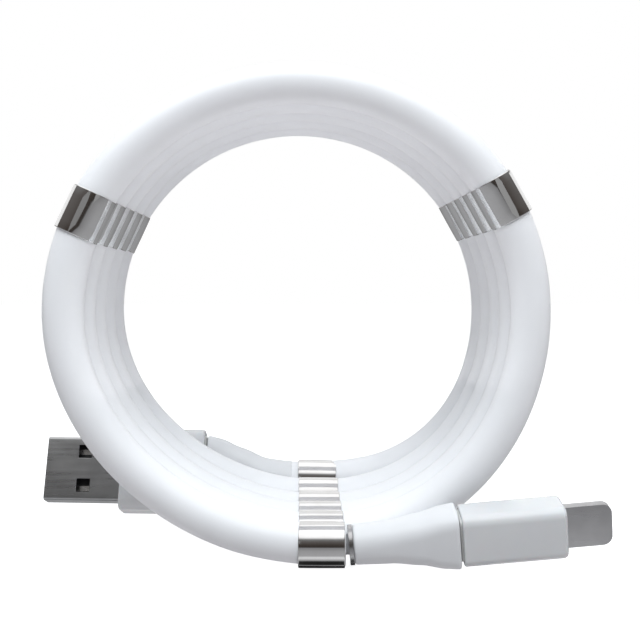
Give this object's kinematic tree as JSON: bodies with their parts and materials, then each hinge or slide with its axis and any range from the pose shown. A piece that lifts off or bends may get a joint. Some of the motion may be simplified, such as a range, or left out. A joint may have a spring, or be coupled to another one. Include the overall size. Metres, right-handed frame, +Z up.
{
  "type": "charging cable",
  "caption": "Self-winding charging cable: a round soft white cord with magnet sleeves, coiled and standing on its rim, with a USB-A plug and a small flat phone plug.",
  "frame": {"origin": "on the surface that the coil stands on, under the middle of the whole cable's box", "axes": "+X along the sleeves at the coil's foot, towards the phone plug; +Y along the coil's axis, from its front turn to its back turn, where the USB-A plug is; +Z up"},
  "size_m": [0.0961, 0.0487, 0.0785],
  "materials": {
    "cord_silicone": "satin",
    "relief_silicone": "satin",
    "sheath_plastic": "matte",
    "wire_red": "satin",
    "wire_black": "satin",
    "wire_green": "satin",
    "wire_white": "satin",
    "sleeve_steel": "polished",
    "ring_steel": "satin",
    "magnet_nickel": "nickel plated",
    "white_plastic": "gloss",
    "tongue_steel": "satin",
    "shell_steel": "satin",
    "contact_gold": "gold plated",
    "contact_nickel": "nickel plated",
    "black_insulator": "matte",
    "board_green": "satin",
    "crimp_brass": "plain",
    "mould_plastic": "matte"
  },
  "bodies": {
    "root": {"cord_jacket": "cord_silicone", "data_minus_wire": "wire_white", "data_plus_wire": "wire_green", "ground_wire": "wire_black", "inner_sheath": "sheath_plastic", "magnet_sleeve_01": "sleeve_steel", "magnet_sleeve_02": "sleeve_steel", "magnet_sleeve_03": "sleeve_steel", "magnet_sleeve_04": "sleeve_steel", "magnet_sleeve_05": "sleeve_steel", "magnet_sleeve_06": "sleeve_steel", "magnet_sleeve_07": "sleeve_steel", "magnet_sleeve_08": "sleeve_steel", "magnet_sleeve_09": "sleeve_steel", "magnet_sleeve_10": "sleeve_steel", "magnet_sleeve_11": "sleeve_steel", "magnet_sleeve_12": "sleeve_steel", "magnet_sleeve_13": "sleeve_steel", "magnet_sleeve_14": "sleeve_steel", "magnet_sleeve_15": "sleeve_steel", "magnet_sleeve_16": "sleeve_steel", "phone_circuit_board": "board_green", "phone_contact_carrier": "black_insulator", "phone_contacts": "contact_gold", "phone_crimp_ferrule": "crimp_brass", "phone_end_ring": "ring_steel", "phone_housing": "white_plastic", "phone_inner_mould": "mould_plastic", "phone_plug_frame": "tongue_steel", "phone_strain_relief": "relief_silicone", "power_wire": "wire_red", "ring_magnet_01": "magnet_nickel", "ring_magnet_02": "magnet_nickel", "ring_magnet_03": "magnet_nickel", "ring_magnet_04": "magnet_nickel", "ring_magnet_05": "magnet_nickel", "ring_magnet_06": "magnet_nickel", "ring_magnet_07": "magnet_nickel", "ring_magnet_08": "magnet_nickel", "ring_magnet_09": "magnet_nickel", "ring_magnet_10": "magnet_nickel", "ring_magnet_11": "magnet_nickel", "ring_magnet_12": "magnet_nickel", "ring_magnet_13": "magnet_nickel", "ring_magnet_14": "magnet_nickel", "ring_magnet_15": "magnet_nickel", "ring_magnet_16": "magnet_nickel", "usb_circuit_board": "board_green", "usb_contact_carrier": "black_insulator", "usb_contacts": "contact_nickel", "usb_crimp_ferrule": "crimp_brass", "usb_housing": "white_plastic", "usb_inner_mould": "mould_plastic", "usb_shell": "shell_steel", "usb_strain_relief": "relief_silicone"}
  },
  "joints": []
}
